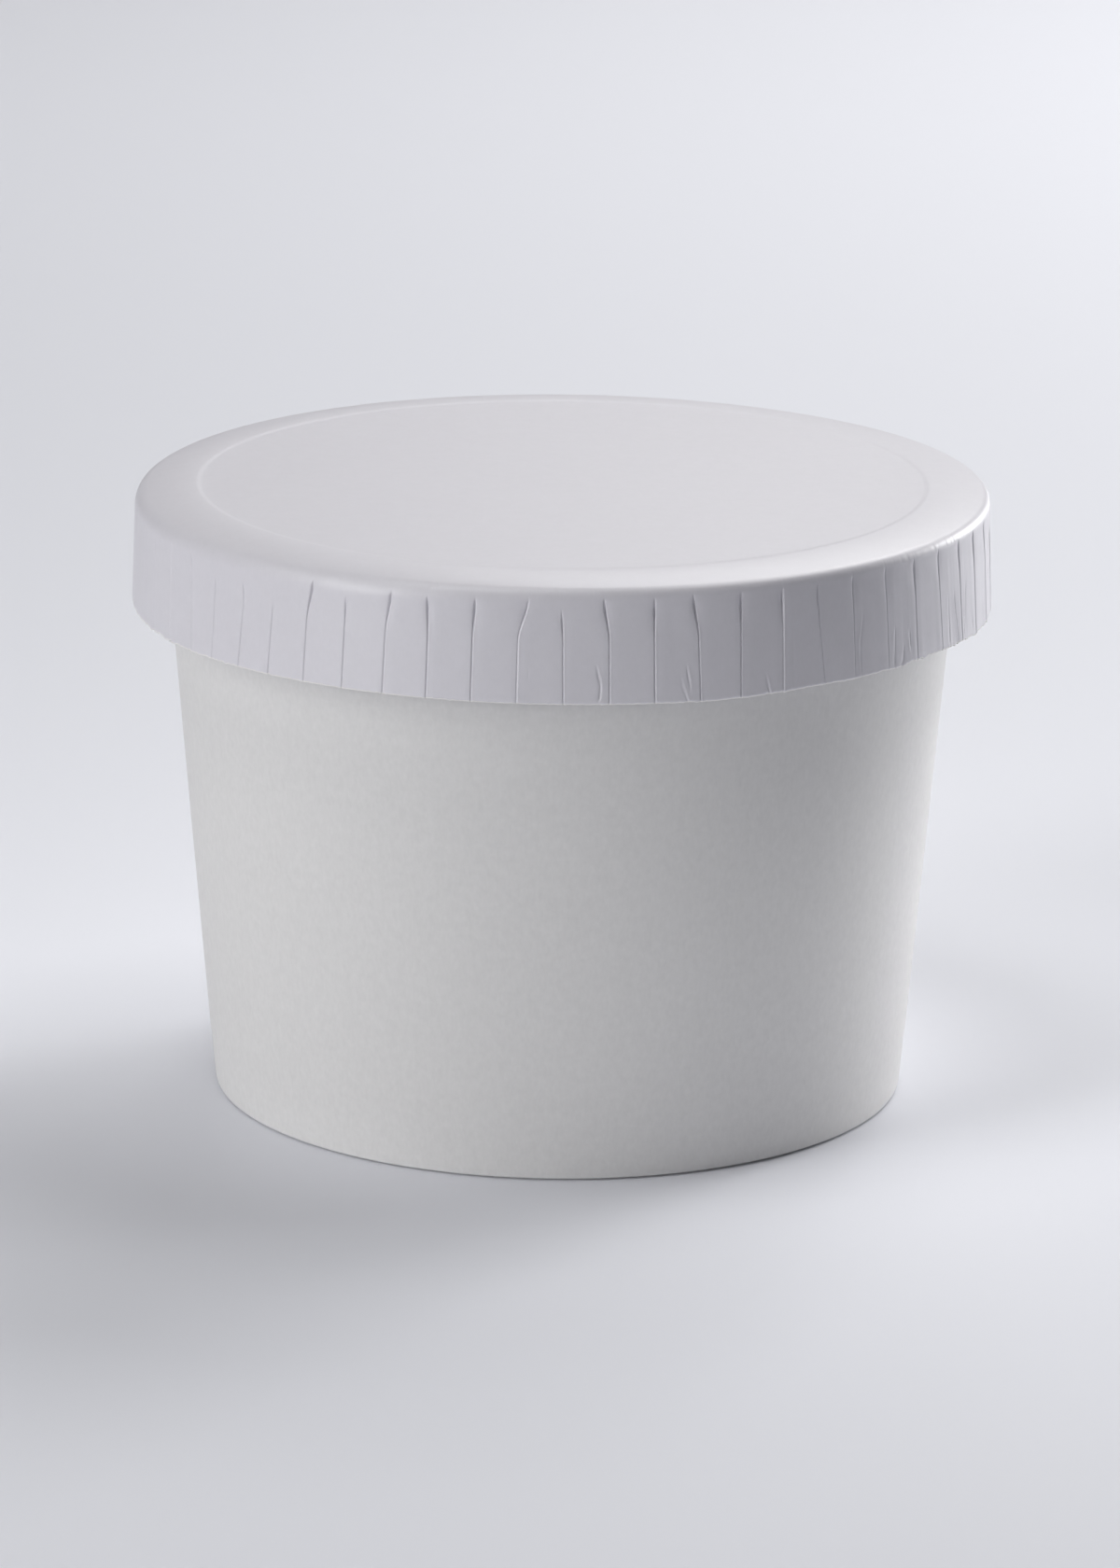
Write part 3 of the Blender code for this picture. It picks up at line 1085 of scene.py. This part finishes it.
def make_air(scene):
    """A faint cool light from all round, as from the rest of a room."""
    world = bpy.data.worlds.new("studio_air")
    world.use_nodes = True
    back = world.node_tree.nodes["Background"]
    back.inputs["Color"].default_value = (*linear_rgb(AIR_COLOUR), 1.0)
    back.inputs["Strength"].default_value = AIR_STRENGTH
    scene.world = world


def make_camera(scene, settings):
    """The camera, in front of the axis, pitched down to its aim and rolled a little."""
    lens = bpy.data.cameras.new("camera")
    lens.sensor_fit = "AUTO"
    lens.sensor_width = SENSOR_WIDTH
    lens.lens = settings.lens
    lens.clip_start, lens.clip_end = CLIP_NEAR, CLIP_FAR
    camera = bpy.data.objects.new("camera", lens)
    pitch = settings.camera_pitch
    camera.location = (
        0.0,
        -settings.camera_distance * math.cos(pitch),
        settings.aim_height + settings.camera_distance * math.sin(pitch),
    )
    camera.rotation_mode = "XYZ"
    camera.rotation_euler = (math.pi / 2.0 - pitch, 0.0, 0.0)
    camera.rotation_euler.rotate_axis("Z", settings.camera_roll)
    scene.collection.objects.link(camera)
    scene.camera = camera


def make_studio(settings):
    """Floor, lights, the room's own light and the camera."""
    scene = bpy.context.scene
    make_floor(settings)
    for row in SOFT_BOXES:
        soft_box(*row)
    make_air(scene)
    scene.view_settings.view_transform = "Standard"
    make_camera(scene, settings)


# ---------------------------------------------------------------- add-on


def a_length(name, text, value):
    """A length property in metres."""
    return FloatProperty(
        name=name, description=text, default=value, min=0.0, unit="LENGTH", precision=5
    )


def an_angle(name, text, degrees):
    """An angle property, its default given in degrees."""
    return FloatProperty(
        name=name, description=text, default=math.radians(degrees), subtype="ANGLE"
    )


def a_colour(name, text, code):
    """A colour property from an sRGB hex code."""
    return FloatVectorProperty(
        name=name,
        description=text,
        default=linear_rgb(code),
        size=3,
        min=0.0,
        max=1.0,
        subtype="COLOR",
    )


class PaperTubSettings(bpy.types.PropertyGroup):
    """Sizes and colours of the tub, its lid and the studio."""

    board: a_length("Board", "Thickness of the lid's and the wall's board", 0.4 * MM)
    panel_drop: a_length("Panel drop", "How far the lid's middle is pressed down", 0.055 * MM)
    pleat_width: a_length("Pleat width", "Half width of a pleat's slit", 0.08 * MM)
    panel_flatness: a_length(
        "Flatness", "How far the board between pleats lies inside the round", 0.035 * MM
    )
    edge_lip: a_length("Edge lip", "How far the cut edge turns out and leans back", 0.22 * MM)
    seam_overlap: a_length("Seam overlap", "Width of the wall's glued overlap", 8.0 * MM)
    seam_step: a_length("Seam step", "Height of the overlap's cut edge", 0.33 * MM)
    foot_pinch: a_length("Foot pinch", "How far the foot is pressed in below the base", 0.06 * MM)
    seam_angle: an_angle("Seam angle", "Where the side seam is, from the front", 172.0)
    lid_colour: a_colour("Lid colour", "Clay-coated board of the lid", "DAD8DE")
    tub_colour: a_colour("Tub colour", "Uncoated board of the tub", "E5E4E3")
    # the edge colour is the pulp's own tone, lifted paler as a painted highlight
    edge_pulp_and_highlight_colour: a_colour("Edge colour", "Cut edge of the board", "F2F0EF")
    floor_colour: a_colour("Floor colour", "Backdrop paper", "E6E7ED")
    lens: FloatProperty(
        name="Lens", description="Focal length in millimetres", default=168.4, min=1.0
    )
    camera_distance: a_length(
        "Camera distance", "From the camera to the point it aims at", 887.4 * MM
    )
    aim_height: a_length("Aim height", "Height of the point the camera aims at", 36.5 * MM)
    camera_pitch: an_angle("Camera pitch", "How far the camera looks down", 15.683)
    camera_roll: an_angle("Camera roll", "How far the camera is turned about its own view", 0.543)


class PAPERTUB_OT_lid(bpy.types.Operator):
    """Build the pleated lid"""

    bl_idname = "paper_tub.lid"
    bl_label = "Lid"

    def execute(self, context):
        make_lid(context.scene.paper_tub)
        return {"FINISHED"}


class PAPERTUB_OT_wall(bpy.types.Operator):
    """Build the tub's wall, with its rim, seam and foot"""

    bl_idname = "paper_tub.wall"
    bl_label = "Tub wall"

    def execute(self, context):
        make_wall(context.scene.paper_tub)
        return {"FINISHED"}


class PAPERTUB_OT_base(bpy.types.Operator):
    """Build the tub's base disc"""

    bl_idname = "paper_tub.base"
    bl_label = "Tub base"

    def execute(self, context):
        make_base(context.scene.paper_tub)
        return {"FINISHED"}


class PAPERTUB_OT_studio(bpy.types.Operator):
    """Build the floor, the lights and the camera"""

    bl_idname = "paper_tub.studio"
    bl_label = "Studio"

    def execute(self, context):
        make_studio(context.scene.paper_tub)
        return {"FINISHED"}


OPERATORS = (PAPERTUB_OT_studio, PAPERTUB_OT_lid, PAPERTUB_OT_wall, PAPERTUB_OT_base)


class PAPERTUB_PT_panel(bpy.types.Panel):
    """Sizes, colours and the buttons that build each piece"""

    bl_idname = "PAPERTUB_PT_panel"
    bl_label = "Paper tub"
    bl_space_type = "VIEW_3D"
    bl_region_type = "UI"
    bl_category = "Paper tub"

    def draw(self, context):
        settings = context.scene.paper_tub
        for name in PaperTubSettings.__annotations__:
            self.layout.prop(settings, name)
        for operator in OPERATORS:
            self.layout.operator(operator.bl_idname)


CLASSES = (PaperTubSettings, *OPERATORS, PAPERTUB_PT_panel)


def register():
    """Register the classes and hang the settings on the scene."""
    for item in CLASSES:
        bpy.utils.register_class(item)
    bpy.types.Scene.paper_tub = PointerProperty(type=PaperTubSettings)


def unregister():
    """Take the settings and the classes away again."""
    del bpy.types.Scene.paper_tub
    for item in reversed(CLASSES):
        bpy.utils.unregister_class(item)


def main():
    """Build everything in order."""
    register()
    for operator in OPERATORS:
        group, name = operator.bl_idname.split(".")
        getattr(getattr(bpy.ops, group), name)()


if __name__ == "__main__":
    main()
